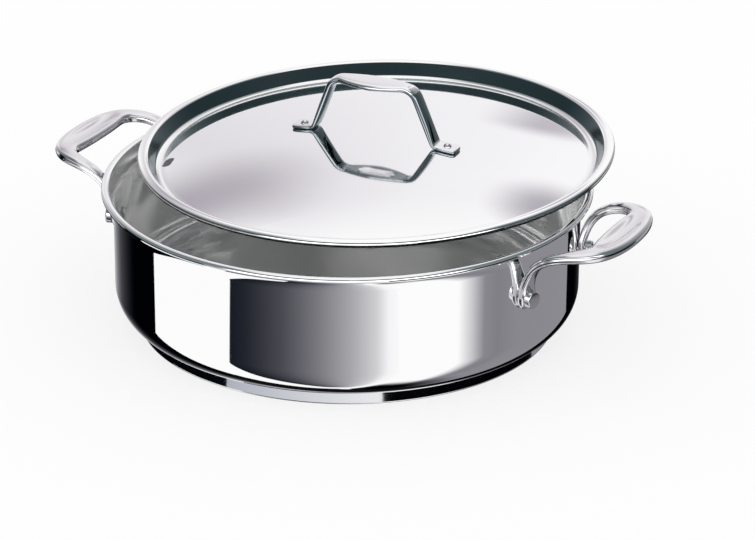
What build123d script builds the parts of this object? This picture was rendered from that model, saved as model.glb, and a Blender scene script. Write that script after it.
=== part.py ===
"""Two-handled braiser of polished stainless steel with its domed lid lying askew on the rim.

Millimetres, +Z up. The origin is the centre of the base's underside, on the pan's axis. The side
handles point along +X and -X, and the front of the pan is -Y.
"""
import math
import os

from build123d import *

# Pan body
inner_radius = 140.0
pan_sheet = 1.0
pan_height = 88.8
corner_radius = 20.5
rim_overhang = 8.2
rim_bend_radius = 2.6
lip_radius = 2.0
lip_drop = 2.6

# Sandwich base
base_inset = 14.2
floor_height = 6.2
cap_sheet = 0.7
cap_edge_radius = 1.6

# Side handles
rivet_spacing = 83.4
rivet_height = 55.8
foot_thickness = 5.0
foot_width = 14.0
foot_edge_radius = 1.2
foot_length = 21.0
leg_width = 8.8
leg_thickness = 5.0
grip_width = 21.0
grip_thickness = 8.0
grip_reach = 50.1
grip_height = 91.8
thumb_length = 62.0
thumb_width = 12.5
thumb_depth = 3.0
thumb_lean = 12.0

# Side handle rivets
handle_rivet_head = 10.4
handle_rivet_head_height = 3.6
handle_rivet_edge_radius = 0.9
handle_rivet_shank = 6.0
handle_rivet_inner_head = 11.0
handle_rivet_inner_height = 1.6

# Lid
lid_rim_inset = 2.9
lid_sheet = 0.8
bead_radius = 1.2
crown_width = 3.8
crown_rise = 2.4
crown_radius = 2.4
step_depth = 10.5
step_angle = 60.0
valley_radius = 5.0
valley_run = 5.2
dome_rise = 15.2
vent_length = 12.0
vent_width = 5.6
vent_inset = 1.4
vent_bearing = 206.5
vent_turn = -17.0

# Lid handle
lid_rivet_spacing = 96.4
lid_foot_overhang = 7.2
lid_foot_inset = 7.8
lid_foot_corner_radius = 2.0
lid_strap_width = 11.5
lid_strap_thickness = 2.4
lid_grip_width = 19.0
lid_grip_thickness = 4.0
lid_grip_height = 38.0
lid_grip_length = 54.0
lid_knee_radius = 7.0
lid_foot_bend_radius = 4.0
lid_hollow_length = 46.0
lid_hollow_width = 12.5
lid_hollow_depth = 2.4

# Lid handle rivets
lid_rivet_head = 5.2
lid_rivet_head_height = 1.9
lid_rivet_shank = 3.6
lid_rivet_inner_head = 6.6
lid_rivet_inner_height = 1.4

# Where the lid lies on the pan
lid_shift_x = 2.3
lid_shift_y = 34.0
lid_tilt = 2.1
lid_tilt_bearing = 57.0
rest_clearance = 0.15

# Every cut runs past the surface by this much
overrun = 4.0

outer_radius = inner_radius + pan_sheet
rim_radius = inner_radius + rim_overhang
base_radius = outer_radius - base_inset
lid_radius = rim_radius - lid_rim_inset
foot_radius = outer_radius + foot_thickness
foot_bearing = math.degrees(math.asin(rivet_spacing / 2 / foot_radius))
up = Vector(0, 0, 1)


def polar(radius, degrees, height=0):
    """A point given by its distance from the axis, its bearing and its height."""
    turn = math.radians(degrees)
    return Vector(radius * math.cos(turn), radius * math.sin(turn), height)


def outward(degrees, height):
    """A plane on the axis at a height, whose normal points outwards along a bearing."""
    return Plane(origin=(0, 0, height), x_dir=polar(1, degrees + 90), z_dir=polar(1, degrees))


def turned_sheet(path, thickness):
    """Sheet metal spun about Z: a path of (radius, height) edges with half the thickness each side."""
    strip = make_face(path.offset_2d(thickness / 2).edges())
    tall = pan_height + rim_radius
    half_plane = Pos(tall / 2, 0) * Rectangle(tall, 2 * tall)
    return strip & half_plane


def spun(profile):
    """A full turn about Z of a profile drawn in radius and height."""
    return revolve(Plane.XZ * profile, Axis.Z, 360)


def make_pan_shell():
    """Deep drawn body: flat floor, rounded corner, straight wall, flared rim and turned-down lip."""
    half = pan_sheet / 2
    wall_x = inner_radius + half
    rim_x = rim_radius - half
    floor_z = floor_height + half
    rim_z = pan_height - half
    path = FilletPolyline(
        (0, floor_z),
        (wall_x, floor_z),
        (wall_x, rim_z),
        (rim_x, rim_z),
        (rim_x, pan_height - lip_drop),
        radius=[corner_radius - half, rim_bend_radius - half, lip_radius - half],
    )
    return spun(turned_sheet(Wire(path.edges()), pan_sheet))


def pan_envelope():
    """All that lies inside the body's outer surface below the rim."""
    corner = FilletPolyline(
        (0, floor_height), (outer_radius, floor_height), (outer_radius, pan_height), radius=corner_radius
    )
    rest = Polyline((outer_radius, pan_height), (0, pan_height), (0, floor_height))
    return spun(make_face(corner.edges() + rest.edges()))


def base_disc(radius, underside, edge_radius):
    """A disc with a rounded lower edge that fills the space up to the body's underside."""
    top = floor_height + corner_radius
    edge = FilletPolyline((0, underside), (radius, underside), (radius, top), radius=edge_radius)
    rest = Polyline((radius, top), (0, top), (0, underside))
    return spun(make_face(edge.edges() + rest.edges())) - pan_envelope()


def make_base():
    """The aluminium core under the floor, and the steel cap pressed over it."""
    core = base_disc(base_radius - cap_sheet, cap_sheet, cap_edge_radius - cap_sheet)
    cap = base_disc(base_radius, 0, cap_edge_radius) - core
    return core, cap


def boat(length, width, depth):
    """A cutter along X that reaches below z = 0 in the shape of a boat of the given size."""
    across = (width * width / 4 + depth * depth) / (2 * depth)
    along = (length * length / 4 + depth * depth) / (2 * depth)
    tip_x = math.sqrt(along * along - (along - across) ** 2)
    arc = ThreePointArc((-tip_x, 0), (0, across), (tip_x, 0))
    bow = make_face(arc.edges() + Line((tip_x, 0), (-tip_x, 0)).edges())
    return Pos(0, 0, across - depth) * revolve(bow, Axis.X, 360)


def cap_arc(radius, level, height, opening):
    """Half a round cap: from the axis out to a radius at a level, above it or (opening 0) below it."""
    curve = (radius * radius + height * height) / (2 * height)
    reach = math.degrees(math.asin(radius / curve))
    if opening:
        return CenterArc((0, level + height - curve), curve, 90 - reach, reach)
    return CenterArc((0, level - height + curve), curve, -90, reach)


def handle_stations():
    """Points along half a side handle, from its foot to the middle of the grip.

    Each station gives how far out, how far aside and how high it lies between the foot and the
    grip, how far it has swelled from the leg's section to the grip's, how flat it lies, and how
    much of the leg's thickness it has.
    """
    start = polar(outer_radius + foot_thickness / 2, foot_bearing)
    neck = rivet_height + foot_length - foot_width
    out = outer_radius + grip_reach - grip_width / 2 - start.X
    rise = grip_height - grip_thickness / 2 - neck
    station_shares = [
        (0.000, 1.000, 0.000, 0.00, 0.00, 0.72),
        (0.045, 1.030, 0.240, 0.00, 0.05, 0.88),
        (0.100, 1.050, 0.450, 0.00, 0.18, 1.00),
        (0.190, 1.060, 0.650, 0.00, 0.42, 1.00),
        (0.340, 1.065, 0.825, 0.00, 0.68, 1.00),
        (0.560, 1.050, 0.940, 0.06, 0.88, 1.00),
        (0.790, 0.955, 0.985, 0.30, 1.00, 1.00),
        (0.940, 0.750, 1.000, 0.72, 1.00, 1.00),
        (0.995, 0.385, 1.000, 0.97, 1.00, 1.00),
    ]
    stations = []
    for out_share, side_share, rise_share, swell_share, flat_share, bulk_share in station_shares:
        point = Vector(start.X + out * out_share, start.Y * side_share, neck + rise * rise_share)
        width = leg_width + (grip_width - leg_width) * swell_share
        thickness = (leg_thickness + (grip_thickness - leg_thickness) * swell_share) * bulk_share
        stations.append((point, flat_share, width, thickness))
    middle = Vector(start.X + out, 0, neck + rise)
    return stations, (middle, 1, grip_width, grip_thickness)


def make_handle_bar():
    """The bar of a side handle on +X: up from one foot, around the grip and down to the other."""
    far, middle = handle_stations()
    near = [(Vector(spot.X, -spot.Y, spot.Z), *rest) for spot, *rest in far]
    run = near + [middle] + far[::-1]
    sections = []
    for index, (spot, flat, width, thickness) in enumerate(run):
        before = run[max(index - 1, 0)][0]
        after = run[min(index + 1, len(run) - 1)][0]
        forward = (after - before).normalized()
        lean = math.radians(90 * flat)
        aside = math.degrees(math.atan2(spot.Y, spot.X)) * (1 - flat)
        facing = up * math.sin(lean) - polar(math.cos(lean), aside)
        plane = Plane(origin=spot, x_dir=facing.cross(forward), z_dir=forward)
        sections.append(plane * SlotOverall(width, thickness))
    return loft(sections)


def make_handle_foot(bearing):
    """The tongue that lies flat against the wall around one rivet."""
    plane = outward(bearing, rivet_height)
    slot = Pos(0, (foot_length - foot_width) / 2) * Rot(0, 0, 90) * SlotOverall(foot_length, foot_width)
    tongue = extrude(plane * slot, foot_radius)
    front = tongue.faces().sort_by(Axis(plane.origin, plane.z_dir))[-1]
    tongue = fillet(front.edges(), foot_edge_radius)
    return tongue - Cylinder(outer_radius, 2 * pan_height, align=(Align.CENTER, Align.CENTER, Align.MIN))


def thumb_recess():
    """The long dimple in the top of the grip, steeper on its inner side."""
    lean = Rot(0, thumb_lean, 0) * Rot(0, 0, 90)
    centre_x = outer_radius + grip_reach - grip_width / 2
    return Pos(centre_x, 0, grip_height) * lean * boat(thumb_length, thumb_width, thumb_depth)


def rivet_bore(bearing):
    """The hole that one side handle rivet needs through the foot and the pan's wall."""
    return extrude(outward(bearing, rivet_height) * Circle(handle_rivet_shank / 2), foot_radius + overrun)


def make_side_handle():
    """Cast handle on the +X side, with its two rivet holes."""
    handle = make_handle_bar() - thumb_recess()
    for bearing in (-foot_bearing, foot_bearing):
        handle += make_handle_foot(bearing)
        handle -= rivet_bore(bearing)
    return handle


def make_handle_rivet(bearing):
    """A rivet with a tall flat head outside the foot and a low round head inside the pan."""
    head_r = handle_rivet_head / 2
    shank_r = handle_rivet_shank / 2
    tail_r = handle_rivet_inner_head / 2
    face_r = head_r - handle_rivet_edge_radius
    top = foot_radius + handle_rivet_head_height
    shoulder = top - handle_rivet_edge_radius
    apex = inner_radius - handle_rivet_inner_height
    tail = cap_arc(tail_r, inner_radius, handle_rivet_inner_height, 0)
    side = Polyline(
        (tail_r, inner_radius), (shank_r, inner_radius), (shank_r, foot_radius), (head_r, foot_radius),
        (head_r, shoulder),
    )
    edge = CenterArc((face_r, shoulder), handle_rivet_edge_radius, 0, 90)
    rest = Polyline((face_r, top), (0, top), (0, apex))
    return outward(bearing, rivet_height).location * spun(
        make_face(tail.edges() + side.edges() + edge.edges() + rest.edges())
    )


def make_lid_path():
    """The middle line of the lid's sheet from its centre out to the bead, in radius and height."""
    bead_x = lid_radius - bead_radius
    crown_x = bead_x - bead_radius / 2 - crown_width
    valley_x = crown_x - step_depth / math.tan(math.radians(step_angle))
    valley_z = crown_rise - step_depth
    dome_x = valley_x - valley_run
    sphere = (dome_x * dome_x + dome_rise * dome_rise) / (2 * dome_rise)
    slope = math.asin(dome_x / sphere)
    dome_z = valley_z + valley_run * math.tan(slope)
    dome = CenterArc((0, dome_z + dome_rise - sphere), sphere, 90 - math.degrees(slope), math.degrees(slope))
    step = FilletPolyline(
        (dome_x, dome_z),
        (valley_x, valley_z),
        (crown_x, crown_rise),
        (bead_x - bead_radius / 2, bead_radius / 2),
        radius=[valley_radius, crown_radius],
    )
    return Wire(dome.edges() + step.edges()), dome_x, dome_z, sphere, slope, (valley_x, valley_z)


lid_path, dome_edge, dome_foot, dome_sphere, dome_slope, valley = make_lid_path()
dome_top = dome_foot + dome_rise + lid_sheet / 2


def dome_height(radius):
    """Height of the dome's upper surface at a distance from the lid's centre."""
    upper = dome_sphere + lid_sheet / 2
    return dome_top - upper + math.sqrt(upper ** 2 - radius ** 2)


def make_lid_shell():
    """Pressed lid: dome, valley, step up to the crown and a rolled bead at the edge, with one vent."""
    profile = turned_sheet(lid_path, lid_sheet) + Pos(lid_radius - bead_radius, 0) * Circle(bead_radius)
    spot = polar(dome_edge - vent_inset, vent_bearing)
    slot = Rot(0, 0, vent_bearing + 90 + vent_turn) * SlotOverall(vent_length, vent_width)
    return spun(profile) - extrude(Pos(spot.X, spot.Y, dome_foot) * slot, dome_rise, both=True)


def rim_contact_rings():
    """Rings of the lid's underside, as (radius, height), that can come down on the pan's rim."""
    step = math.radians(step_angle)
    tangent = valley_radius * math.tan((dome_slope + step) / 2)
    centre_x = valley[0] - tangent * math.cos(dome_slope) + valley_radius * math.sin(dome_slope)
    centre_z = valley[1] + tangent * math.sin(dome_slope) + valley_radius * math.cos(dome_slope)
    outside = valley_radius + lid_sheet / 2
    rings = [(lid_radius - bead_radius, -bead_radius)]
    for turn_share in (0, 0.1, 0.2, 0.35, 0.5, 0.75, 1):
        turn = step * turn_share
        rings.append((centre_x + outside * math.sin(turn), centre_z - outside * math.cos(turn)))
    return rings


def lid_rest_height():
    """Height of the lid's centre at which its underside just clears the flat of the rim."""
    lean = polar(math.tan(math.radians(lid_tilt)), lid_tilt_bearing)
    height = 0
    for ring_radius, ring_height in rim_contact_rings():
        for bearing in range(360):
            spot = polar(ring_radius, bearing)
            reach = math.hypot(spot.X + lid_shift_x, spot.Y + lid_shift_y)
            if inner_radius - lid_sheet < reach < rim_radius + lid_sheet:
                height = max(height, pan_height + rest_clearance - lean.dot(spot) - ring_height)
    return height


def lid_place():
    """Where the lid lies: shifted over the rim and tilted towards its high side."""
    move = Pos(lid_shift_x, lid_shift_y, lid_rest_height())
    return move * Rot(0, 0, lid_tilt_bearing) * Rot(0, -lid_tilt, 0) * Rot(0, 0, -lid_tilt_bearing)


def lid_foot_plane(side):
    """The plane on the dome's surface under one foot of the lid handle, X pointing outwards."""
    reach = lid_rivet_spacing / 2
    slope = math.asin(reach / (dome_sphere + lid_sheet / 2))
    downhill = Vector(side * math.cos(slope), 0, -math.sin(slope))
    normal = Vector(side * math.sin(slope), 0, math.cos(slope))
    return Plane(origin=(side * reach, 0, dome_height(reach)), x_dir=downhill, z_dir=normal)


def make_lid_handle():
    """Strap handle of the lid: two feet, two leaning legs and a swelled grip with a hollow under it."""
    half = lid_strap_thickness / 2
    foot = lid_foot_plane(1)
    top = foot.origin.Z + lid_grip_height
    tip = foot.origin + foot.x_dir * lid_foot_overhang + foot.z_dir * half
    heel = foot.origin - foot.x_dir * lid_foot_inset + foot.z_dir * half
    right = [(lid_grip_length / 2, top - half), (heel.X, heel.Z), (tip.X, tip.Z)]
    left = [(-x, z) for x, z in right[::-1]]
    bends = [lid_foot_bend_radius, lid_knee_radius, lid_knee_radius, lid_foot_bend_radius]
    path = FilletPolyline(*left, *right, radius=bends)
    strip = make_face(Wire(path.edges()).offset_2d(half, kind=Kind.INTERSECTION).edges())
    clip = Pos(0, top) * Rectangle(2 * tip.X, 4 * lid_grip_height)
    strap = extrude(Plane.XZ * (strip & clip), lid_strap_width / 2, both=True)
    corners = strap.edges().filter_by(Axis.Z, tolerance=10)
    corners = [edge for edge in corners if abs(edge.center().X) > lid_rivet_spacing / 2]
    handle = fillet(corners, lid_foot_corner_radius) + make_lid_grip(top)
    for side in (-1, 1):
        handle -= extrude(lid_foot_plane(side) * Circle(lid_rivet_shank / 2), lid_grip_height / 4)
    return handle


def make_lid_grip(top):
    """The swelled middle of the lid handle, with a boat-shaped hollow in its underside."""
    swell_shares = [(-1.0, 0.0), (-0.72, 0.42), (-0.36, 0.88), (0.0, 1.0), (0.36, 0.88), (0.72, 0.42), (1.0, 0.0)]
    reach = lid_grip_length / 2 - lid_knee_radius / 2
    sections = []
    for along_share, swell_share in swell_shares:
        width = lid_strap_width + (lid_grip_width - lid_strap_width) * swell_share
        depth = lid_strap_thickness + (lid_grip_thickness - lid_strap_thickness) * swell_share
        plane = Plane(origin=(reach * along_share, 0, top - depth / 2), x_dir=(0, 1, 0), z_dir=(1, 0, 0))
        sections.append(plane * SlotOverall(width, depth))
    cutter = boat(lid_hollow_length, lid_hollow_width, lid_hollow_depth)
    return loft(sections) - Pos(0, 0, top - lid_grip_thickness) * Rot(180, 0, 0) * cutter


def make_lid_rivet(side):
    """A small rivet with a round head on the handle's foot and another under the lid."""
    head_r = lid_rivet_head / 2
    tail_r = lid_rivet_inner_head / 2
    shank_r = lid_rivet_shank / 2
    foot_top = lid_strap_thickness
    below = -lid_sheet
    head = cap_arc(head_r, foot_top, lid_rivet_head_height, 1)
    tail = cap_arc(tail_r, below, lid_rivet_inner_height, 0)
    steps = Polyline((tail_r, below), (shank_r, below), (shank_r, foot_top), (head_r, foot_top))
    core = Line((0, foot_top + lid_rivet_head_height), (0, below - lid_rivet_inner_height))
    profile = make_face(head.edges() + tail.edges() + steps.edges() + core.edges())
    return lid_foot_plane(side).location * spun(profile)


def lid_bore(side):
    """The hole that one lid rivet needs through the lid."""
    return extrude(lid_foot_plane(side) * Circle(lid_rivet_shank / 2), overrun, both=True)


def main():
    os.makedirs("parts", exist_ok=True)
    core, cap = make_base()
    pan = make_pan_shell()
    handle = make_side_handle()
    sides = {"right": (0, "front", "back"), "left": (180, "back", "front")}
    for turn, _, _ in sides.values():
        for bearing in (-foot_bearing, foot_bearing):
            pan -= rivet_bore(bearing + turn)
    nodes = {"pan_shell": pan, "base_core": core, "base_cap": cap}
    for hand, (turn, first, second) in sides.items():
        nodes[f"{hand}_side_handle"] = Rot(0, 0, turn) * handle
        nodes[f"{hand}_handle_{first}_rivet"] = make_handle_rivet(turn - foot_bearing) - pan
        nodes[f"{hand}_handle_{second}_rivet"] = make_handle_rivet(turn + foot_bearing) - pan
    lid = make_lid_shell() - lid_bore(-1) - lid_bore(1)
    place = lid_place()
    nodes["lid_shell"] = place * lid
    nodes["lid_handle"] = place * (make_lid_handle() - lid)
    nodes["lid_handle_left_rivet"] = place * (make_lid_rivet(-1) - lid)
    nodes["lid_handle_right_rivet"] = place * (make_lid_rivet(1) - lid)
    for name, solid in nodes.items():
        export_step(solid, f"parts/{name}.step")


main()
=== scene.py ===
"""The looks of a two-handled braiser with its lid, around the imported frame.

Sizes and modelling steps come first, then the finishes, the pieces, and the studio with its camera
and cards.
"""

import math

import bmesh
import bpy
from mathutils import Matrix, Quaternion, Vector


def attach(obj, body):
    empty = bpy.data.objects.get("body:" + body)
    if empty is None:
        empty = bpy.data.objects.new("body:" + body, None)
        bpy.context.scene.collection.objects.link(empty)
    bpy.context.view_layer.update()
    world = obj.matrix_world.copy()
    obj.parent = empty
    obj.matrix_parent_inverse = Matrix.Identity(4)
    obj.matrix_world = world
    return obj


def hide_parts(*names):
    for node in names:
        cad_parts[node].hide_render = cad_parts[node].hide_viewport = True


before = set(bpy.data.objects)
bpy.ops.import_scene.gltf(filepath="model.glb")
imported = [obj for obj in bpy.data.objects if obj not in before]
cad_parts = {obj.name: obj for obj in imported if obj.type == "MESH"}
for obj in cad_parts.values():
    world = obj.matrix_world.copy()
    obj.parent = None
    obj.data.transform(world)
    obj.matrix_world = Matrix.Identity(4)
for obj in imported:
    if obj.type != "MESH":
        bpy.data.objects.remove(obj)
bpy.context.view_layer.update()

mm = 0.001
smooth_angle = math.radians(32)
weld_distance = 0.002 * mm

# Pan body, in millimetres as in the part's source
inner_radius = 140.0
pan_sheet = 1.0
pan_height = 88.8
corner_radius = 20.5
rim_overhang = 8.2
flare_height = 80.5
flare_run = 3.8
flare_radius = 12.0
rim_bend_radius = 1.6
lip_radius = 2.0
lip_drop = 2.6
outer_radius = inner_radius + pan_sheet
rim_radius = inner_radius + rim_overhang

# Sandwich base
base_inset = 14.2
base_radius = outer_radius - base_inset
floor_height = 6.2
cap_edge_radius = 1.0
cap_lean = 1.5
cap_sheet = 0.7
cap_edge_slope = 0.1
core_bottom = 0.8
core_side_gap = 0.3
core_top_gap = 0.05

# Rivets of the side handles
rivet_spacing = 83.4
rivet_height = 55.8
foot_thickness = 5.0
foot_radius = outer_radius + foot_thickness
foot_bearing = math.degrees(math.asin(rivet_spacing / 2 / foot_radius))
handle_rivet_head = 10.4
handle_rivet_head_height = 3.6
handle_rivet_edge_radius = 0.9
handle_rivet_shank = 6.0
handle_rivet_inner_head = 11.0
handle_rivet_inner_height = 1.6
handle_rivet_inner_shares = (1.0, 0.85, 0.65, 0.4, 0.2)

# Side handles
foot_width = 14.0
foot_length = 21.0
grip_width = 21.0
grip_thickness = 8.0
grip_reach = 50.1
grip_height = 91.8
grip_dish = 3.3

# Outlines of the handles: where a dish lies and how wide it is, as shares of the width, and how much
# larger than wanted a ring is drawn, because the smoothing of the bar draws it in
dish_offset = 0.05
dish_spread = 0.34
swell_across = 1.01
swell_rise = 1.02

# Lid, about its own axis
lid_rim_inset = 2.9
lid_radius = rim_radius - lid_rim_inset
lid_sheet = 0.8
bead_radius = 2.0
curl_start = 64.0
curl_step = 12.0
curl_points = 24
crown_width = 2.6
crown_rise = 2.4
crown_radius = 2.4
step_depth = 10.5
step_angle = 60.0
valley_radius = 5.0
valley_run = 5.2
dome_rise = 15.2
dome_steps = 28
vent_length = 12.0
vent_width = 5.6
vent_inset = 1.4
vent_bearing = 206.5
vent_turn = -17.0

# Where the lid's finishes and its painted shade and reflections change: a margin in millimetres, then how
# far a face looks up, from -1 to 1
dome_finish_margin = 0.2
bead_shade_rise = 0.12
reflection_line_rise = (0.44, 0.68)
wall_reflection_rise = (0.2, 0.75)

# Lid handle
lid_foot_overhang = 7.2
lid_foot_inset = 7.8
lid_strap_width = 11.5
lid_leg_width = 10.0
lid_leg_thickness = 4.3
lid_grip_width = 19.0
lid_grip_height = 38.0
lid_grip_length = 54.0
lid_grip_thickness = 5.0
lid_grip_hollow = 2.5
lid_grip_fullness = 2.7
lid_knee_radius = 9.0
lid_foot_bend_radius = 4.0
# Where the handle's painted shade goes: a drop below the knee, then how far a face looks up at the heel,
# the gain towards the knee, and the band on the grip
shade_drop_below_knee = 1.5
leg_rise_at_heel = 0.5
leg_rise_gain = 0.3
grip_side_rise = (-0.45, 0.1)

# Rivets of the lid handle
lid_rivet_spacing = 96.4
lid_strap_thickness = 2.4
lid_rivet_head = 5.2
lid_rivet_head_height = 1.9
lid_rivet_shank = 3.6
lid_rivet_inner_head = 6.6
lid_rivet_inner_height = 1.4
lid_rivet_shares = (1.0, 0.9, 0.75, 0.55, 0.3)

# Where the lid lies on the pan
lid_centre = Vector((2.3, 34.0, 98.5745))
lid_tilt = 2.1
lid_tilt_bearing = 57.0

# The photo's camera: its distance, height, bearing, roll and field, and the point that it aims at
camera_distance = 2.2
camera_elevation = 23.55
camera_bearing = 26.2
camera_roll = 0.35
camera_lens = 172.16
sensor_width = 36.0
camera_target = Vector((16.6, 8.17, 30.3)) * mm

# Share of plain white in the floor as the camera sees it, beside the light and shadow that it catches
floor_whiteness = 0.75
floor_size = 24.0


def polar(radius, degrees, height=0.0):
    """A point given by its distance from the axis, its bearing and its height."""
    turn = math.radians(degrees)
    return Vector((radius * math.cos(turn), radius * math.sin(turn), height))


def lid_matrix():
    """Where the lid lies: shifted over the rim and tilted towards its high side."""
    turn = Matrix.Rotation(math.radians(lid_tilt_bearing), 4, "Z")
    tilt = Matrix.Rotation(math.radians(-lid_tilt), 4, "Y")
    return Matrix.Translation(lid_centre * mm) @ turn @ tilt @ turn.inverted()


lid_place = lid_matrix()


# Modelling steps

def pick(piece):
    """Makes a piece the active one and the only one that is selected."""
    bpy.ops.object.select_all(action="DESELECT")
    piece.select_set(True)
    bpy.context.view_layer.objects.active = piece


def rename(piece, name):
    """Gives a piece and its mesh their name."""
    piece.name = name
    piece.data.name = name


def trace(name, points):
    """A new piece in edit mode: a line of vertices extruded through the points, in millimetres."""
    bpy.ops.object.select_all(action="DESELECT")
    bpy.ops.mesh.primitive_plane_add(size=mm, location=Vector(points[0]) * mm)
    piece = bpy.context.object
    rename(piece, name)
    bpy.ops.object.transform_apply(location=True, rotation=True, scale=True)
    bpy.ops.object.mode_set(mode="EDIT")
    bpy.ops.mesh.select_all(action="SELECT")
    bpy.ops.mesh.merge(type="CENTER")
    for before, after in zip(points, points[1:]):
        step = (Vector(after) - Vector(before)) * mm
        bpy.ops.mesh.extrude_vertices_move(TRANSFORM_OT_translate={"value": step})
    return piece


def select_where(test):
    """Selects in edit mode only the vertices whose place passes the test."""
    bpy.ops.mesh.select_mode(type="VERT")
    bpy.ops.mesh.select_all(action="DESELECT")
    mesh = bmesh.from_edit_mesh(bpy.context.object.data)
    for vert in mesh.verts:
        vert.select = test(vert)
    mesh.select_flush_mode()
    bmesh.update_edit_mesh(bpy.context.object.data)


def round_corner(point, radius, steps):
    """Rounds the corner of the traced line that lies at a point."""
    spot = Vector(point) * mm
    mesh = bmesh.from_edit_mesh(bpy.context.object.data)
    corner = min(mesh.verts, key=lambda vert: (vert.co - spot).length)
    ends = [edge.other_vert(corner).co - corner.co for edge in corner.link_edges]
    turn = math.pi - ends[0].angle(ends[1])
    index = corner.index
    select_where(lambda vert: vert.index == index)
    reach = radius * mm * math.tan(turn / 2)
    bpy.ops.mesh.bevel(offset=reach, segments=steps, affect="VERTICES", profile=0.5)


def spin_round(steps, angle=math.tau):
    """Spins all that is traced about the Z axis, full round or in part, and welds it."""
    bpy.ops.mesh.select_all(action="SELECT")
    bpy.ops.mesh.spin(steps=steps, angle=-angle, center=(0, 0, 0), axis=(0, 0, 1))
    bpy.ops.mesh.select_all(action="SELECT")
    bpy.ops.mesh.remove_doubles(threshold=weld_distance)
    bpy.ops.mesh.normals_make_consistent(inside=False)
    bpy.ops.object.mode_set(mode="OBJECT")


def modify(piece, kind, **settings):
    """Adds a modifier with its settings and applies it."""
    bpy.context.view_layer.objects.active = piece
    bpy.ops.object.modifier_add(type=kind)
    modifier = piece.modifiers[-1]
    for key, value in settings.items():
        setattr(modifier, key, value)
    bpy.ops.object.modifier_apply(modifier=modifier.name)


def thicken(piece, sheet):
    """Turns a spun middle line into sheet, with half of its thickness on each side."""
    modify(piece, "SOLIDIFY", thickness=sheet * mm, offset=0.0, use_even_offset=True)


def put(piece, matrix):
    """Moves a piece to its place and applies that, so that the object itself stays at the origin."""
    pick(piece)
    piece.matrix_world = matrix
    bpy.ops.object.transform_apply(location=True, rotation=True, scale=True)


def copy_of(piece, name):
    """A copy of a piece with its own mesh."""
    pick(piece)
    bpy.ops.object.duplicate(linked=False)
    twin = bpy.context.object
    rename(twin, name)
    return twin


def dress(piece, body, slot, *nodes, materials):
    """Smooths a finished piece, gives it its finishes and lets it stand for its CAD nodes."""
    pick(piece)
    bpy.ops.object.shade_smooth_by_angle(angle=smooth_angle)
    for material in materials:
        piece.data.materials.append(material)
    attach(piece, body)
    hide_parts(*nodes)


def give_faces(piece, slot_index, test):
    """Gives a piece's other finish to the faces whose middle and normal pass the test."""
    for face in piece.data.polygons:
        if test(face.center, face.normal):
            face.material_index = slot_index


def ball_radius(radius, height):
    """Radius of the ball that a low dome of this radius and height is cut from."""
    return (radius ** 2 + height ** 2) / (2 * height)


def low_dome(radius, height, level, way, shares):
    """Points over a low round head, at shares of its radius. It rises (1) or hangs (-1) from a level."""
    curve = ball_radius(radius, height)
    points = []
    for share in shares:
        out = radius * share
        points.append((out, 0, level + way * (height - curve + math.sqrt(curve ** 2 - out ** 2))))
    return points


# Finishes

def make_group(name, inputs, outputs):
    """A shader node group with named sockets, and the nodes that hold them."""
    group = bpy.data.node_groups.new(name, "ShaderNodeTree")
    for socket, kind, value in inputs:
        made = group.interface.new_socket(socket, in_out="INPUT", socket_type=kind)
        if value is not None:
            made.default_value = value
    for socket, kind in outputs:
        group.interface.new_socket(socket, in_out="OUTPUT", socket_type=kind)
    return group, group.nodes.new("NodeGroupInput"), group.nodes.new("NodeGroupOutput")


def add(tree, kind, **settings):
    """A node in a tree, with its properties and its inputs' values or links set by name."""
    node = tree.nodes.new(kind)
    inputs = settings.pop("inputs", {})
    for key, value in settings.items():
        setattr(node, key, value)
    for socket, value in inputs.items():
        if isinstance(value, bpy.types.NodeSocket):
            tree.links.new(value, node.inputs[socket])
        else:
            node.inputs[socket].default_value = value
    return node


def math_node(tree, operation, *values):
    """The output of a Math node."""
    return add(tree, "ShaderNodeMath", operation=operation, inputs=dict(enumerate(values))).outputs[0]


def new_material(name):
    """A new material and its node tree."""
    material = bpy.data.materials.new(name)
    material.use_nodes = True
    return material, material.node_tree


def grey(value):
    """An even grey."""
    return (value, value, value)


def make_haze_group():
    """Wiping haze: soft patches in which a polish is a little duller."""
    group, source, sink = make_group(
        "wiping_haze",
        [("Vector", "NodeSocketVector", None), ("Patch scale", "NodeSocketFloat", 18.0),
         ("Polished", "NodeSocketFloat", 0.05), ("Hazy", "NodeSocketFloat", 0.1)],
        [("Roughness", "NodeSocketFloat"), ("Haze", "NodeSocketFloat")],
    )
    patches = add(group, "ShaderNodeTexNoise", inputs={
        "Vector": source.outputs["Vector"], "Scale": source.outputs["Patch scale"], "Detail": 3.0,
        "Roughness": 0.55, "Distortion": 0.4,
    })
    rough = add(group, "ShaderNodeMapRange", inputs={
        "Value": patches.outputs["Fac"], "From Min": 0.35, "From Max": 0.65,
        "To Min": source.outputs["Polished"], "To Max": source.outputs["Hazy"],
    })
    group.links.new(rough.outputs["Result"], sink.inputs["Roughness"])
    group.links.new(patches.outputs["Fac"], sink.inputs["Haze"])
    return group


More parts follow.
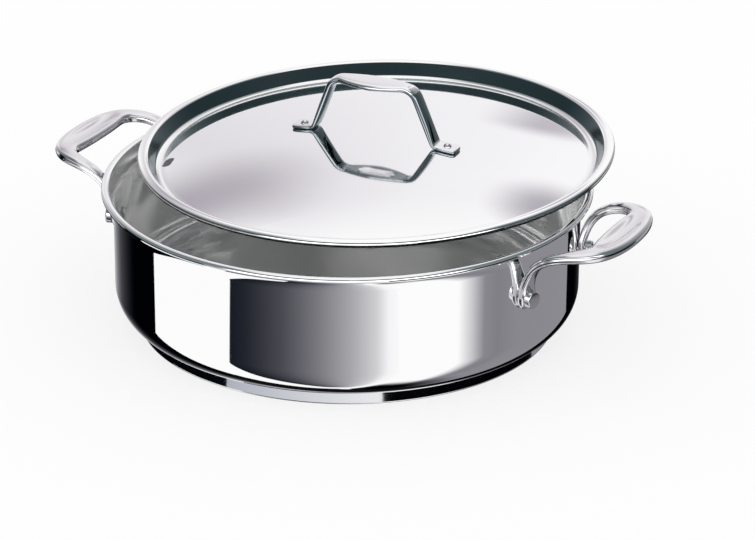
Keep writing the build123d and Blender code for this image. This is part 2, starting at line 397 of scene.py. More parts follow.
def make_turned_group():
    """Turned lines: fine rings around the Z axis, as a polishing wheel leaves on a spinning sheet."""
    group, source, sink = make_group(
        "turned_lines",
        [("Vector", "NodeSocketVector", None), ("Lines per metre", "NodeSocketFloat", 900.0)],
        [("Height", "NodeSocketFloat"), ("Streak", "NodeSocketFloat")],
    )
    flat = add(group, "ShaderNodeVectorMath", operation="MULTIPLY", inputs={
        0: source.outputs["Vector"], 1: (1.0, 1.0, 0.35),
    })
    radius = add(group, "ShaderNodeVectorMath", operation="LENGTH", inputs={0: flat.outputs["Vector"]})
    fine = add(group, "ShaderNodeTexNoise", noise_dimensions="1D", inputs={
        "W": math_node(group, "MULTIPLY", radius.outputs["Value"], source.outputs["Lines per metre"]),
        "Scale": 1.0, "Detail": 4.0, "Roughness": 0.7,
    })
    broad = add(group, "ShaderNodeTexNoise", noise_dimensions="1D", inputs={
        "W": math_node(group, "MULTIPLY", radius.outputs["Value"], source.outputs["Lines per metre"]),
        "Scale": 0.12, "Detail": 2.0, "Roughness": 0.5,
    })
    group.links.new(fine.outputs["Fac"], sink.inputs["Height"])
    group.links.new(broad.outputs["Fac"], sink.inputs["Streak"])
    return group


def make_grain_group():
    """Cast grain: the faint unevenness of a casting that was tumbled and polished by hand."""
    group, source, sink = make_group(
        "cast_grain",
        [("Vector", "NodeSocketVector", None), ("Grain scale", "NodeSocketFloat", 260.0)],
        [("Height", "NodeSocketFloat"), ("Wear", "NodeSocketFloat")],
    )
    grain = add(group, "ShaderNodeTexNoise", inputs={
        "Vector": source.outputs["Vector"], "Scale": source.outputs["Grain scale"], "Detail": 5.0,
        "Roughness": 0.6,
    })
    wear = add(group, "ShaderNodeTexNoise", inputs={
        "Vector": source.outputs["Vector"], "Scale": 42.0, "Detail": 2.0, "Roughness": 0.5,
    })
    group.links.new(grain.outputs["Fac"], sink.inputs["Height"])
    group.links.new(wear.outputs["Fac"], sink.inputs["Wear"])
    return group


haze_group = make_haze_group()
turned_group = make_turned_group()
grain_group = make_grain_group()


def make_steel(
    name, light, dull, polished, hazy, line_depth, patch_scale, lines,
    place=None, turned=True, metallic=1.0,
):
    """A metal finish: a haze between two tones, over turned lines or cast grain."""
    material, tree = new_material(name)
    shader = tree.nodes["Principled BSDF"]
    shader.inputs["Metallic"].default_value = metallic
    where = add(tree, "ShaderNodeTexCoord").outputs["Object"]
    if place:
        where = add(tree, "ShaderNodeMapping", vector_type="TEXTURE", inputs={
            "Vector": where, "Location": place.to_translation(), "Rotation": place.to_euler(),
        }).outputs["Vector"]
    haze = add(tree, "ShaderNodeGroup", node_tree=haze_group, inputs={
        "Vector": where, "Patch scale": patch_scale, "Polished": polished, "Hazy": hazy,
    })
    if turned:
        surface = add(tree, "ShaderNodeGroup", node_tree=turned_group, inputs={
            "Vector": where, "Lines per metre": lines,
        })
        variation = surface.outputs["Streak"]
    else:
        surface = add(tree, "ShaderNodeGroup", node_tree=grain_group, inputs={
            "Vector": where, "Grain scale": lines,
        })
        variation = surface.outputs["Wear"]
    tone = add(tree, "ShaderNodeMix", data_type="RGBA", inputs={
        0: variation, "A": (*dull, 1.0), "B": (*light, 1.0),
    })
    tree.links.new(tone.outputs["Result"], shader.inputs["Base Color"])
    tree.links.new(haze.outputs["Roughness"], shader.inputs["Roughness"])
    bump = add(tree, "ShaderNodeBump", inputs={
        "Strength": 0.35, "Distance": line_depth * mm, "Height": surface.outputs["Height"],
    })
    tree.links.new(bump.outputs["Normal"], shader.inputs["Normal"])
    return material


# What finishes of the lid's sheet and of the castings have in common
on_lid = {"patch_scale": 16.0, "lines": 800.0, "place": lid_place}
on_casting = {"patch_scale": 60.0, "lines": 420.0, "turned": False}

mirror_outside = make_steel(
    "mirror_steel", grey(0.975), grey(0.965), polished=0.02, hazy=0.035, line_depth=0.001,
    patch_scale=14.0, lines=700.0)
satin_inside = make_steel(
    "satin_inside_steel", (0.975, 0.975, 0.97), (0.95, 0.955, 0.95), polished=0.1, hazy=0.14,
    line_depth=0.004, patch_scale=16.0, lines=900.0, metallic=0.7)
lid_polish = make_steel(
    "lid_dome_steel", (0.97, 0.965, 0.97), (0.95, 0.945, 0.95), polished=0.035, hazy=0.06,
    line_depth=0.002, patch_scale=12.0, lines=800.0, place=lid_place)
lid_mirror = make_steel(
    "lid_edge_steel", grey(0.97), grey(0.955), polished=0.02, hazy=0.035, line_depth=0.001, **on_lid)
lid_channel = make_steel(
    "lid_channel_steel", grey(0.97), grey(0.955), polished=0.13, hazy=0.18, line_depth=0.001, **on_lid)
# Dark teal painted on the step wall of the lid's channel: a painted reflection of dark surroundings, not
# the steel's own colour
painted_wall_reflection = make_steel(
    "channel_wall_painted_reflection", (0.13, 0.18, 0.19), (0.09, 0.13, 0.14), polished=0.13, hazy=0.18,
    line_depth=0.001, **on_lid)
cap_steel = make_steel(
    "base_cap_steel", (0.95, 0.95, 0.955), (0.92, 0.92, 0.925), polished=0.05, hazy=0.09,
    line_depth=0.004, patch_scale=20.0, lines=900.0)
cast_steel = make_steel(
    "satin_cast_steel", (0.85, 0.835, 0.85), (0.79, 0.775, 0.79), polished=0.12, hazy=0.2,
    line_depth=0.01, **on_casting)
lid_handle_steel = make_steel(
    "lid_handle_steel", (0.93, 0.92, 0.93), (0.88, 0.87, 0.88), polished=0.05, hazy=0.09,
    line_depth=0.004, **on_casting)
# Dark teal-grey painted on the sides of the handle's legs and feet and under the grip: painted shade and
# dark reflections, not a different steel
lid_handle_painted_shade = make_steel(
    "lid_handle_painted_shade", (0.3, 0.34, 0.36), (0.24, 0.28, 0.3), polished=0.04, hazy=0.08,
    line_depth=0.003, **on_casting)
# Near black painted on the bead: painted shade on its underside and a painted dark reflection line on its
# outer face
painted_bead_shade_and_reflection = make_steel(
    "lid_bead_painted_shade_and_reflection", (0.05, 0.06, 0.065), (0.03, 0.035, 0.04), polished=0.1, hazy=0.16,
    line_depth=0.002, **on_lid)
rivet_steel = make_steel(
    "satin_rivet_steel", (0.86, 0.85, 0.86), (0.78, 0.77, 0.78), polished=0.16, hazy=0.26,
    line_depth=0.02, patch_scale=120.0, lines=600.0, turned=False)
core_metal = make_steel(
    "plain_aluminium", grey(0.82), grey(0.74), polished=0.35, hazy=0.5,
    line_depth=0.03, patch_scale=60.0, lines=500.0)


# Pan

def make_pan():
    """The drawn body: floor, rounded corner, wall with a flared top, flat rim and turned-down lip."""
    half = pan_sheet / 2
    wall_x = inner_radius + half
    rim_x = rim_radius - half
    floor_z = floor_height + half
    rim_z = pan_height - half
    corner = (wall_x, 0, floor_z)
    flare = (wall_x, 0, flare_height)
    flat = (wall_x + flare_run, 0, rim_z)
    turn_down = (rim_x, 0, rim_z)
    lip = (rim_x, 0, pan_height - lip_drop)
    piece = trace("braiser_body", [(0, 0, floor_z), corner, flare, flat, turn_down, lip])
    round_corner(corner, corner_radius - half, steps=22)
    round_corner(flare, flare_radius, steps=12)
    round_corner(flat, rim_bend_radius, steps=8)
    round_corner(turn_down, lip_radius - half, steps=10)
    spin_round(steps=384)
    thicken(piece, pan_sheet)
    dress(piece, "pan", "polished_steel", "pan_shell", materials=[mirror_outside, satin_inside])

    def inside(spot, normal):
        below_rim = spot.z < (pan_height - pan_sheet) * mm
        within_wall = math.hypot(spot.x, spot.y) < (wall_x + flare_run) * mm
        looks_in = normal.z > 0.05 or normal.x * spot.x + normal.y * spot.y < 0
        return below_rim and within_wall and looks_in

    give_faces(piece, 1, inside)


def make_base_core():
    """The aluminium disc inside the sandwich base, out of sight between the body and the cap."""
    core_radius = base_radius - cap_lean - cap_sheet - core_side_gap
    core_top = floor_height - core_top_gap
    foot = (core_radius, 0, core_bottom)
    piece = trace("braiser_base_core", [
        (0, 0, core_bottom), foot, (core_radius, 0, core_top), (0, 0, core_top),
    ])
    round_corner(foot, cap_edge_radius, steps=6)
    spin_round(steps=160)
    dress(piece, "pan", "core_aluminium", "base_core", materials=[core_metal])


def make_base_cap():
    """The steel cap of the sandwich base: a shallow cup with a rounded lower edge."""
    reach = base_radius - outer_radius + corner_radius
    top = floor_height + corner_radius - math.sqrt(corner_radius ** 2 - reach ** 2)
    outside = base_radius - cap_lean
    inside = outside - cap_sheet
    foot = (base_radius, 0, 0)
    piece = trace("braiser_base_cap", [
        (0, 0, 0), foot, (outside, 0, top), (inside, 0, top - cap_edge_slope), (inside, 0, cap_sheet),
        (0, 0, cap_sheet),
    ])
    round_corner(foot, cap_edge_radius, steps=8)
    spin_round(steps=320)
    dress(piece, "pan", "polished_steel", "base_cap", materials=[cap_steel])


def make_handle_rivet():
    """A rivet about Z: a tall flat head above the foot and a low round head inside the pan."""
    head_r = handle_rivet_head / 2
    shank_r = handle_rivet_shank / 2
    tail_r = handle_rivet_inner_head / 2
    top = foot_radius + handle_rivet_head_height
    edge = (head_r, 0, top)
    tail = low_dome(tail_r, handle_rivet_inner_height, inner_radius, -1, handle_rivet_inner_shares)
    piece = trace("rivet", [
        (0, 0, top), edge, (head_r, 0, foot_radius), (shank_r, 0, foot_radius),
        (shank_r, 0, inner_radius), *tail, (0, 0, inner_radius - handle_rivet_inner_height),
    ])
    round_corner(edge, handle_rivet_edge_radius, steps=5)
    spin_round(steps=48)
    return piece


def make_handle_rivets():
    """The four rivets of the side handles, turned outwards at their places."""
    model = make_handle_rivet()
    places = {
        "right_handle_front_rivet": -foot_bearing,
        "right_handle_back_rivet": foot_bearing,
        "left_handle_back_rivet": 180 - foot_bearing,
        "left_handle_front_rivet": 180 + foot_bearing,
    }
    for node, bearing in places.items():
        twin = copy_of(model, "satin_" + node)
        lie_flat = Matrix.Rotation(math.radians(90), 4, "Y")
        turn = Matrix.Rotation(math.radians(bearing), 4, "Z")
        put(twin, Matrix.Translation((0, 0, rivet_height * mm)) @ turn @ lie_flat)
        dress(twin, "pan", "rivet_steel", node, materials=[rivet_steel])
    bpy.data.objects.remove(model)


# Lid

def lid_profile():
    """The middle line of the lid's sheet: dome, valley, step, crown, and the curl of the bead."""
    bead_x = lid_radius - bead_radius
    crown_x = bead_x - bead_radius / 2 - crown_width
    valley_x = crown_x - step_depth / math.tan(math.radians(step_angle))
    valley_z = crown_rise - step_depth
    dome_x = valley_x - valley_run
    sphere = ball_radius(dome_x, dome_rise)
    slope = math.asin(dome_x / sphere)
    dome_z = valley_z + valley_run * math.tan(slope)
    dome = []
    for index in range(dome_steps + 1):
        lean = slope * index / dome_steps
        dome.append((sphere * math.sin(lean), 0, dome_z + dome_rise - sphere + sphere * math.cos(lean)))
    valley = (valley_x, 0, valley_z)
    crown = (crown_x, 0, crown_rise)
    curl_radius = bead_radius - lid_sheet / 2
    curl = []
    for index in range(curl_points):
        turn = math.radians(curl_start - curl_step * index)
        curl.append((bead_x + curl_radius * math.cos(turn), 0, curl_radius * math.sin(turn)))
    return dome, valley, crown, curl, sphere, dome_x, dome_z


dome, valley, crown, curl, dome_sphere, dome_edge, dome_foot = lid_profile()


def dome_height(radius):
    """Height of the dome's upper surface at a distance from the lid's centre."""
    upper = dome_sphere + lid_sheet / 2
    return dome_foot + dome_rise + lid_sheet / 2 - upper + math.sqrt(upper ** 2 - radius ** 2)


def make_vent_cutter():
    """The slot-shaped cutter of the steam vent."""
    bpy.ops.object.select_all(action="DESELECT")
    bpy.ops.mesh.primitive_cylinder_add(
        vertices=40, radius=vent_width / 2 * mm, depth=2 * dome_rise * mm)
    cutter = bpy.context.object
    bpy.ops.object.mode_set(mode="EDIT")
    half_run = (vent_length - vent_width) / 2 * mm
    for side in (-1, 1):
        select_where(lambda vert: vert.co.x * side > weld_distance)
        bpy.ops.transform.translate(value=(side * half_run, 0, 0))
    bpy.ops.object.mode_set(mode="OBJECT")
    spot = polar((dome_edge - vent_inset) * mm, vent_bearing, dome_foot * mm)
    turn = Matrix.Rotation(math.radians(vent_bearing + 90 + vent_turn), 4, "Z")
    put(cutter, lid_place @ Matrix.Translation(spot) @ turn)
    return cutter


def make_lid():
    """The pressed lid with its rolled bead and its vent."""
    piece = trace("lid_dome", [*dome, valley, crown, *curl])
    round_corner(valley, valley_radius, steps=12)
    round_corner(crown, crown_radius, steps=10)
    spin_round(steps=384)
    thicken(piece, lid_sheet)
    put(piece, lid_place)
    cutter = make_vent_cutter()
    modify(piece, "BOOLEAN", operation="DIFFERENCE", solver="EXACT", object=cutter)
    bpy.data.objects.remove(cutter)
    # The last two of the lid's materials are painted light: shade and a reflection line on the bead, and a
    # dark reflection on the step wall
    dress(piece, "lid", "polished_steel", "lid_shell", materials=[
        lid_polish, lid_channel, lid_mirror, painted_bead_shade_and_reflection, painted_wall_reflection,
    ])
    centre = lid_place.to_translation()
    axis = lid_place.to_3x3() @ Vector((0, 0, 1))

    def from_axis(spot):
        """The way from the lid's axis straight out to a spot."""
        offset = spot - centre
        return offset - axis * offset.dot(axis)

    def beyond_dome(spot, normal):
        return from_axis(spot).length > (dome_edge - dome_finish_margin) * mm

    def beyond_channel(spot, normal):
        return from_axis(spot).length > (crown[0] - crown_radius) * mm

    # The bead's outer faces that look down get painted shade, and a band of them higher up gets a painted
    # dark reflection line
    def bead_shade_and_reflection_line(spot, normal):
        across = from_axis(spot)
        rise = normal.dot(axis)
        outer_side = across.length > (lid_radius - bead_radius) * mm and normal.dot(across) > 0
        return outer_side and (rise < bead_shade_rise or reflection_line_rise[0] < rise < reflection_line_rise[1])

    # The inward faces of the channel's step wall, which get the painted dark reflection
    def wall_reflection_faces(spot, normal):
        across = from_axis(spot)
        inner_side = dome_edge * mm < across.length < crown[0] * mm and normal.dot(across) < 0
        return inner_side and wall_reflection_rise[0] < normal.dot(axis) < wall_reflection_rise[1]

    tests = (beyond_dome, beyond_channel, bead_shade_and_reflection_line, wall_reflection_faces)
    for slot_index, test in enumerate(tests, start=1):
        give_faces(piece, slot_index, test)


def lid_foot_matrix(side):
    """The place on the dome under one foot of the lid handle, with Z away from the dome."""
    reach = lid_rivet_spacing / 2
    slope = side * math.asin(reach / (dome_sphere + lid_sheet / 2))
    spot = Vector((side * reach, 0, dome_height(reach))) * mm
    return Matrix.Translation(spot) @ Matrix.Rotation(slope, 4, "Y")


def make_lid_rivets():
    """The two small rivets with round heads that hold the lid handle."""
    shank_r = lid_rivet_shank / 2
    above = lid_strap_thickness
    below = -lid_sheet
    head = low_dome(lid_rivet_head / 2, lid_rivet_head_height, above, 1, lid_rivet_shares)
    tail = low_dome(lid_rivet_inner_head / 2, lid_rivet_inner_height, below, -1, lid_rivet_shares)
    model = trace("lid_rivet", [
        (0, 0, above + lid_rivet_head_height), *head[::-1], (shank_r, 0, above), (shank_r, 0, below),
        *tail, (0, 0, below - lid_rivet_inner_height),
    ])
    spin_round(steps=40)
    for node, side in (("lid_handle_left_rivet", -1), ("lid_handle_right_rivet", 1)):
        twin = copy_of(model, "satin_" + node)
        put(twin, lid_place @ lid_foot_matrix(side))
        dress(twin, "lid", "rivet_steel", node, materials=[rivet_steel])
    bpy.data.objects.remove(model)


# Handles

def rounded(value, power, size):
    """A sine or cosine flattened towards the corners of a box of a given size."""
    return math.copysign(abs(value) ** power, value) * size / 2


def section(width, thickness, fullness=2.6, dish=0.0, dish_centre=0.0, groove=0.0, corners=28):
    """A bar's outline across its way: rounded, with a dish in its top and grooves along its sides.

    The corners next to the widest one on each side carry the groove.
    """
    beside_widest = math.sin(math.tau / corners)
    points = []
    for index in range(corners):
        turn = math.tau * index / corners
        across = rounded(math.cos(turn), 2 / fullness, width)
        rise = rounded(math.sin(turn), 2 / fullness, thickness)
        if math.sin(turn) * dish > 0.1:
            share = (across - dish_centre) / (width * dish_spread)
            rise -= dish * max(0.0, 1 - share * share)
        if math.isclose(abs(math.sin(turn)), beside_widest, abs_tol=0.01):
            across -= math.copysign(groove, across)
        points.append((across * swell_across, rise * swell_rise))
    return points


def add_ring(matrix, outline):
    """One closed ring in edit mode: a vertex extruded along the outline at a station."""
    mesh = bmesh.from_edit_mesh(bpy.context.object.data)
    first = len(mesh.verts)
    spots = [matrix @ (Vector((across, rise, 0)) * mm) for across, rise in outline]
    bpy.ops.mesh.select_all(action="DESELECT")
    bpy.ops.mesh.primitive_plane_add(size=mm, location=spots[0])
    bpy.ops.mesh.merge(type="CENTER")
    for before, after in zip(spots, spots[1:]):
        bpy.ops.mesh.extrude_vertices_move(TRANSFORM_OT_translate={"value": after - before})
    last = first + len(outline) - 1
    select_where(lambda vert: vert.index in (first, last))
    bpy.ops.mesh.edge_face_add()
    return set(range(first, last + 1))


def skin(name, stations):
    """A closed bar through stations of (place, outline): rings bridged in turn, then smoothed."""
    bpy.ops.object.select_all(action="DESELECT")
    bpy.ops.mesh.primitive_plane_add(size=mm)
    bar = bpy.context.object
    rename(bar, name)
    bpy.ops.object.mode_set(mode="EDIT")
    bpy.ops.mesh.select_all(action="SELECT")
    bpy.ops.mesh.delete(type="VERT")
    rings = [add_ring(*station) for station in stations]
    for before, after in zip(rings, rings[1:]):
        select_where(lambda vert: vert.index in before or vert.index in after)
        bpy.ops.mesh.bridge_edge_loops()
    for ring in (rings[0], rings[-1]):
        select_where(lambda vert: vert.index in ring)
        bpy.ops.mesh.edge_face_add()
    bpy.ops.mesh.select_all(action="SELECT")
    bpy.ops.mesh.normals_make_consistent(inside=False)
    bpy.ops.object.mode_set(mode="OBJECT")
    modify(bar, "SUBSURF", levels=2, render_levels=2)
    return bar


def frame_at(spot, across, forward):
    """The place of a ring: X across the bar, Z along it."""
    forward = forward.normalized()
    across = (across - forward * across.dot(forward)).normalized()
    up = forward.cross(across)
    return Matrix.Translation(spot) @ Matrix((across, up, forward)).transposed().to_4x4()


def way_along(run, index):
    """The direction of a run at one of its stations, from the neighbours' spots."""
    return run[min(index + 1, len(run) - 1)][0] - run[max(index - 1, 0)][0]


def side_handle_run():
    """Half of the right handle, from its foot's tip to the grip's middle: spots, flatness, outlines."""
    start = polar(outer_radius + foot_thickness / 2, foot_bearing)
    neck = rivet_height + foot_length - foot_width
    out = outer_radius + grip_reach - grip_width / 2 - start.x
    rise = grip_height - grip_thickness / 2 - neck
    half = []
    for climb, width, thickness in (
        (-6.9, 3.4, 1.6), (-6.3, 6.6, 3.0), (-4.6, 10.6, 4.4), (-1.5, 13.6, 5.0), (2.5, 13.6, 5.0),
        (6.6, 11.6, 5.0),
    ):
        spot = polar(outer_radius + thickness / 2, foot_bearing, rivet_height + climb) * mm
        half.append((spot, 0.0, section(width, thickness, fullness=2.9, groove=0.3)))
    for out_share, side_share, rise_share, width, thickness, flat_share, dish, groove in (
        (0.045, 1.030, 0.240, 9.6, 5.2, 0.05, 0.0, 0.6),
        (0.100, 1.050, 0.450, 8.8, 5.4, 0.18, 0.0, 0.8),
        (0.190, 1.060, 0.650, 8.8, 5.6, 0.42, 0.0, 0.8),
        (0.340, 1.065, 0.825, 9.0, 5.8, 0.68, 0.0, 0.8),
        (0.560, 1.050, 0.940, 9.6, 6.2, 0.88, 0.0, 0.7),
        (0.790, 0.965, 0.985, 11.6, 6.8, 1.00, 0.0, 0.5),
        (0.935, 0.800, 1.000, 14.0, 7.4, 1.00, 0.1, 0.2),
        (0.975, 0.610, 1.000, 17.0, 7.8, 1.00, 1.6, 0.0),
        (0.992, 0.400, 1.000, 19.6, 8.0, 1.00, 2.8, 0.0),
        (0.999, 0.190, 1.000, 20.8, 8.0, 1.00, 3.2, 0.0),
    ):
        spot = Vector((start.x + out * out_share, start.y * side_share, neck + rise * rise_share)) * mm
        outline = section(width, thickness, dish=dish, dish_centre=dish_offset * width, groove=groove)
        half.append((spot, flat_share, outline))
    middle = Vector((start.x + out, 0, neck + rise)) * mm
    outline = section(grip_width, grip_thickness, dish=grip_dish, dish_centre=dish_offset * grip_width)
    return half, (middle, 1.0, outline)


def make_side_handles():
    """The two cast handles, each in one run: feet, grooved legs and a swelled, dished grip."""
    half, middle = side_handle_run()
    near = [(Vector((spot.x, -spot.y, spot.z)), flat, outline) for spot, flat, outline in half]
    run = near + [middle] + half[::-1]
    stations = []
    for index, (spot, flat, outline) in enumerate(run):
        forward = way_along(run, index)
        lean = math.radians(90 * flat)
        aside = math.degrees(math.atan2(spot.y, spot.x)) * (1 - flat)
        facing = Vector((0, 0, math.sin(lean))) - polar(math.cos(lean), aside)
        stations.append((frame_at(spot, facing.cross(forward), forward), outline))
    bar = skin("right_loop_handle", stations)
    twin = copy_of(bar, "left_loop_handle")
    put(twin, Matrix.Rotation(math.pi, 4, "Z"))
    dress(bar, "pan", "cast_steel", "right_side_handle", materials=[cast_steel])
    dress(twin, "pan", "cast_steel", "left_side_handle", materials=[cast_steel])


def bend(before, corner, after, radius, steps=5):
    """Points around a rounded corner of a path."""
    ahead = (after - corner).normalized()
    behind = (before - corner).normalized()
    half = behind.angle(ahead) / 2
    centre = corner + (ahead + behind).normalized() * radius / math.sin(half)
    start = corner + behind * radius / math.tan(half)
    arm = start - centre
    axis = arm.cross(corner - centre)
    sweep = math.pi - 2 * half
    return [centre + Quaternion(axis, sweep * index / steps) @ arm for index in range(steps + 1)]


def make_lid_handle():
    """The lid's handle: two riveted tabs, bent legs and a swelled grip that is hollow underneath."""
    half = lid_strap_thickness / 2
    foot = lid_foot_matrix(1)
    spot = foot.to_translation() / mm
    downhill = foot.to_3x3() @ Vector((1, 0, 0))
    normal = foot.to_3x3() @ Vector((0, 0, 1))
    top = spot.z + lid_grip_height
    tip = spot + downhill * lid_foot_overhang + normal * half
    heel = spot - downhill * lid_foot_inset + normal * half
    knee = Vector((lid_grip_length / 2, 0, top - lid_leg_thickness / 2))
    middle = Vector((0, 0, knee.z))
    wide = lid_strap_width
    run = []
    for inset, width, thickness in (
        (0.1, wide - 4.4, 1.5), (0.7, wide - 1.8, 2.2), (2.0, wide, lid_strap_thickness),
        (9.5, wide, lid_strap_thickness),
    ):
        run.append((tip - downhill * inset, section(width, thickness, fullness=4.5)))
    for point in bend(tip, heel, knee, lid_foot_bend_radius):
        run.append((point, section(wide - 0.6, 3.0, fullness=3.4)))
    leg = section(lid_leg_width, lid_leg_thickness, fullness=3.0)
    for share in (0.3, 0.6):
        run.append((heel.lerp(knee, share), leg))
    for point in bend(heel, knee, middle, lid_knee_radius):
        run.append((point, leg))
    for along, width, thickness, hollow in (
        (0.66, 13.0, 4.3, 0.0), (0.5, 15.4, 4.5, 0.8), (0.3, 17.8, 4.6, 2.0), (0.12, 18.9, 4.9, 2.4),
    ):
        place = Vector((lid_grip_length / 2 * along, 0, top - thickness / 2))
        run.append((place, section(width, thickness, fullness=lid_grip_fullness, dish=-hollow)))
    grip = section(lid_grip_width, lid_grip_thickness, fullness=lid_grip_fullness, dish=-lid_grip_hollow)
    centre = (Vector((0, 0, top - lid_grip_thickness / 2)), grip)
    far = [(Vector((-place.x, 0, place.z)), outline) for place, outline in run]
    run = run + [centre] + far[::-1]
    stations = []
    for index, (place, outline) in enumerate(run):
        stations.append((frame_at(place * mm, Vector((0, -1, 0)), way_along(run, index)), outline))
    strap = skin("lid_loop_handle", stations)
    put(strap, lid_place)
    dress(strap, "lid", "cast_steel", "lid_handle", materials=[lid_handle_steel, lid_handle_painted_shade])
    level = lid_place.inverted()

    # Faces on the sides of the legs and feet, and under the grip's edges, which get the painted shade
    def painted_shade_faces(spot, normal):
        share = ((level @ spot).z / mm - heel.z) / (knee.z - shade_drop_below_knee - heel.z)
        rise = (level.to_3x3() @ normal).z
        if share < 1:
            return rise < leg_rise_at_heel + leg_rise_gain * share
        return grip_side_rise[0] < rise < grip_side_rise[1]

    give_faces(strap, 1, painted_shade_faces)


# Studio

def set_up_camera():
    """The camera at the photo's viewing angle."""
    rise = math.radians(camera_elevation)
    turn = math.radians(camera_bearing)
    back = Vector((math.sin(turn) * math.cos(rise), -math.cos(turn) * math.cos(rise), math.sin(rise)))
    roll = Quaternion((0, 0, 1), math.radians(camera_roll))
    aim = back.to_track_quat("Z", "Y") @ roll
    bpy.ops.object.camera_add(location=camera_target + back * camera_distance, rotation=aim.to_euler())
    camera = bpy.context.object
    camera.name = "photo_camera"
    camera.data.lens = camera_lens
    camera.data.sensor_width = sensor_width
    camera.data.sensor_fit = "HORIZONTAL"
    bpy.context.scene.camera = camera


def set_up_floor():
    """A wide pale floor. It catches the soft shadow and isn't mirrored in the steel."""
    bpy.ops.object.select_all(action="DESELECT")
    bpy.ops.mesh.primitive_plane_add(size=floor_size)
    plane = bpy.context.object
    plane.name = "studio_floor"
    material, tree = new_material("pale_floor")
    shader = tree.nodes["Principled BSDF"]
    shader.inputs["Base Color"].default_value = (*grey(0.97), 1.0)
    shader.inputs["Roughness"].default_value = 0.9
    shader.inputs["Specular IOR Level"].default_value = 0.1
    output = tree.nodes["Material Output"]
    paths = add(tree, "ShaderNodeLightPath")
    share = math_node(tree, "MULTIPLY", paths.outputs["Is Camera Ray"], floor_whiteness)
    paper = add(tree, "ShaderNodeEmission", inputs={"Color": (*grey(1.0), 1.0), "Strength": 1.0})
    mixed = add(tree, "ShaderNodeMixShader", inputs={
        0: share, 1: shader.outputs["BSDF"], 2: paper.outputs["Emission"],
    })
    tree.links.new(mixed.outputs["Shader"], output.inputs["Surface"])
    plane.data.materials.append(material)
    plane.visible_glossy = False


def set_up_world():
    """Plain white light from all around, and enough bounces for steel that faces steel."""
    world = bpy.data.worlds.new("studio_air")
    bpy.context.scene.world = world
    world.use_nodes = True
    background = world.node_tree.nodes["Background"]
    background.inputs["Color"].default_value = (*grey(1.0), 1.0)
    background.inputs["Strength"].default_value = 1.0
    bpy.context.scene.view_settings.view_transform = "Standard"
    cycles = bpy.context.scene.cycles
    cycles.max_bounces = 24
    cycles.glossy_bounces = 24
    cycles.diffuse_bounces = 10


# Bearing 0 of the cards is the way to the camera, and the picture's right is positive
card_radius = 5.0
card_zero = camera_bearing - 90.0
card_gamma = 2.2
card_rows = 12
card_facet = 5.0
card_fewest_facets = 4


def smooth_step(tree, value, start, end):
    """A soft step from 0 at the start to 1 at the end."""
    return add(tree, "ShaderNodeMapRange", interpolation_type="SMOOTHSTEP", inputs={
        "Value": value, "From Min": start, "From Max": end,
    }).outputs["Result"]


def card_material(name, left, right, low, high, tones, corner, feather, strength):
    """A card that only glows, with tones along its bearing, and with rounded or soft edges."""
    material, tree = new_material(name)
    tree.nodes.clear()
    where = add(tree, "ShaderNodeTexCoord").outputs["Object"]
    turned = add(tree, "ShaderNodeMapping", inputs={
        "Vector": where, "Rotation": (0.0, 0.0, math.radians(-(card_zero + (left + right) / 2))),
    }).outputs["Vector"]
    parts = add(tree, "ShaderNodeSeparateXYZ", inputs={0: turned})
    bearing = math_node(tree, "ARCTAN2", parts.outputs["Y"], parts.outputs["X"])
    bearing = math_node(tree, "MULTIPLY", bearing, math.degrees(1))
    sine = math_node(tree, "DIVIDE", parts.outputs["Z"], card_radius)
    height = math_node(tree, "MULTIPLY", math_node(tree, "ARCSINE", sine), math.degrees(1))
    half_width = (right - left) / 2
    half_height = (high - low) / 2
    place = add(tree, "ShaderNodeMapRange", inputs={
        "Value": bearing, "From Min": -half_width, "From Max": half_width,
    }).outputs["Result"]
    ramp = add(tree, "ShaderNodeValToRGB", inputs={0: place})
    stops = ramp.color_ramp.elements
    while len(stops) < len(tones):
        stops.new(0.5)
    for stop, (spot, colour) in zip(stops, tones):
        stop.position = (spot - left) / (right - left)
        stop.color = (*[value / 255 for value in colour], 1.0)
    colour = add(tree, "ShaderNodeGamma", inputs={"Color": ramp.outputs["Color"], "Gamma": card_gamma})
    glow = add(tree, "ShaderNodeEmission", inputs={"Color": colour.outputs["Color"], "Strength": strength})
    across = math_node(tree, "SUBTRACT", math_node(tree, "ABSOLUTE", bearing), half_width - corner)
    rise = math_node(tree, "SUBTRACT", height, (low + high) / 2)
    rise = math_node(tree, "SUBTRACT", math_node(tree, "ABSOLUTE", rise), half_height - corner)
    outside = add(tree, "ShaderNodeCombineXYZ", inputs={
        "X": math_node(tree, "MAXIMUM", across, 0.0), "Y": math_node(tree, "MAXIMUM", rise, 0.0),
    })
    reach = add(tree, "ShaderNodeVectorMath", operation="LENGTH", inputs={0: outside.outputs["Vector"]})
    mask = smooth_step(tree, reach.outputs["Value"], corner, corner - feather)
    clear = add(tree, "ShaderNodeBsdfTransparent")
    mixed = add(tree, "ShaderNodeMixShader", inputs={
        0: mask, 1: clear.outputs["BSDF"], 2: glow.outputs["Emission"],
    })
    output = add(tree, "ShaderNodeOutputMaterial")
    tree.links.new(mixed.outputs["Shader"], output.inputs["Surface"])
    return material


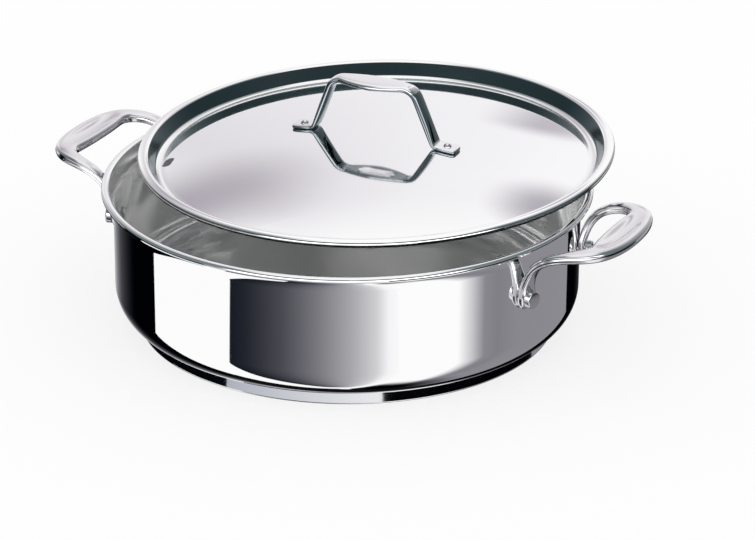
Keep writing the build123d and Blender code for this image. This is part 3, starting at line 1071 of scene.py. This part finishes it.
def set_up_card(
    name, left, right, low, high, tones, corner=0.2, feather=0.1, radius_share=1.0, strength=1.0
):
    """A curved card far around the pan, between two bearings and two elevations.

    Its tones are one colour, or bearings with their colours. Only polished metal shows it: it throws
    no light and no shadow on the floor.
    """
    if not isinstance(tones, list):
        tones = [(left, tones), (right, tones)]
    points = []
    for index in range(card_rows + 1):
        rise = math.radians(low + (high - low) * index / card_rows)
        out = card_radius * math.cos(rise) / mm
        points.append(polar(out, card_zero + left, card_radius * math.sin(rise) / mm))
    card = trace(name, points)
    facets = max(card_fewest_facets, round((right - left) / card_facet))
    spin_round(facets, math.radians(right - left))
    glow = card_material(name, left, right, low, high, tones, corner, feather, strength)
    card.data.materials.append(glow)
    bpy.ops.object.mode_set(mode="EDIT")
    bpy.ops.mesh.select_all(action="SELECT")
    bpy.ops.transform.resize(value=[radius_share] * 3, center_override=(0, 0, 0))
    bpy.ops.object.mode_set(mode="OBJECT")
    card.visible_camera = False
    card.visible_diffuse = False
    card.visible_shadow = False
    card.visible_transmission = False


def set_up_cards():
    """The studio as the steel shows it: dark flags and grey cards between white light."""
    white = (255, 255, 255)
    black = (7, 8, 11)
    slate = (104, 116, 119)
    light_slate = (122, 130, 133)
    cool_grey = (137, 136, 142)
    side_grey = (70, 70, 75)
    end_grey = (172, 172, 176)
    end_pale = (224, 221, 225)
    back_white = (250, 249, 251)

    # What the wall shows below its horizon, from the front round to the back
    set_up_card("card_front_gradient", -61, 28, -82, -5, [
        (-61, (26, 30, 38)), (-50, (40, 42, 49)), (-31, (76, 76, 84)), (-14, (121, 120, 126)),
        (3, (169, 169, 173)), (14.8, (209, 208, 211)), (20.6, (246, 246, 248)), (28, white),
    ], corner=32, feather=0.5)
    set_up_card("card_right_grey", 56, 139, -86, -12, [
        (56, white), (64, (199, 198, 203)), (71, cool_grey), (79, (129, 128, 134)),
        (92, cool_grey), (139, (140, 139, 145)),
    ])
    set_up_card("card_side_black", 118, 262, -88, -12, [
        (118, black), (152, black), (172, side_grey), (192, (190, 190, 195)), (212, side_grey),
        (232, black), (262, black),
    ], radius_share=1.02)
    set_up_card("card_left_white", -108, -50, -74, 6, white, corner=28, radius_share=1.01)
    set_up_card("card_low_right", 22, 150, -89, -57, black, corner=16, feather=14, radius_share=0.97)
    set_up_card("card_under", 120, 260, -88, -62, (22, 23, 26))

    # The narrow band that the base cap shows
    for name, left, right, tones in (
        ("card_cap_light", -65, 19, [(-65, (176, 180, 190)), (19, (240, 240, 242))]),
        ("card_cap_right", 19, 118, black),
        ("card_cap_left", -118, -65, [(-118, black), (-65, (14, 18, 22))]),
    ):
        set_up_card(name, left, right, -19, 4.5, tones, radius_share=0.98)

    # Brighter than white, for the inside of the pan
    set_up_card("card_window", -60, 60, 1, 34, white, corner=12, feather=11, radius_share=0.99,
                strength=2.6)

    # What the lid's channel and its bead show of the camera's side
    set_up_card("card_camera_side", -157, 157, -12, 74, [
        (-157, end_pale), (-140, end_grey), (-118, slate), (-60, light_slate), (0, slate),
        (60, light_slate), (112, slate), (140, end_grey), (157, end_pale),
    ], corner=10, feather=9, radius_share=1.015)
    set_up_card("card_camera_strip", 1, 8, 50, 58, white, corner=1, feather=0.8, radius_share=0.96)
    set_up_card("card_camera_line", 24, 104, 41, 43.5, [(24, (80, 104, 106)), (104, (64, 88, 90))],
                corner=1, feather=0.9, radius_share=0.96)

    # What the dome shows of the far side
    set_up_card("card_back_pale", 157, 206, -6, 54, [
        (157, back_white), (166, back_white), (178, (243, 242, 244)), (188, (231, 229, 233)),
        (198, (220, 217, 222)), (206, (224, 221, 226)),
    ], corner=15, feather=14)
    set_up_card("card_back_patch", 183, 216, 19, 45, [
        (183, (200, 196, 203)), (200, (176, 171, 180)), (216, (176, 172, 181)),
    ], corner=13, feather=12.8, radius_share=0.96)
    set_up_card("card_back_right", 156, 171, 30, 46, [
        (156, (172, 168, 176)), (171, (186, 182, 190)),
    ], corner=7.5, feather=7.4, radius_share=0.96)
    set_up_card("card_back_crescent", 165, 175, 4, 20, [
        (165, (186, 181, 190)), (175, (200, 196, 204)),
    ], corner=5, feather=4.8, radius_share=0.96)


make_pan()
make_base_cap()
make_handle_rivets()
make_lid()
make_lid_rivets()
make_base_core()
make_side_handles()
make_lid_handle()
set_up_camera()
set_up_floor()
set_up_world()
set_up_cards()
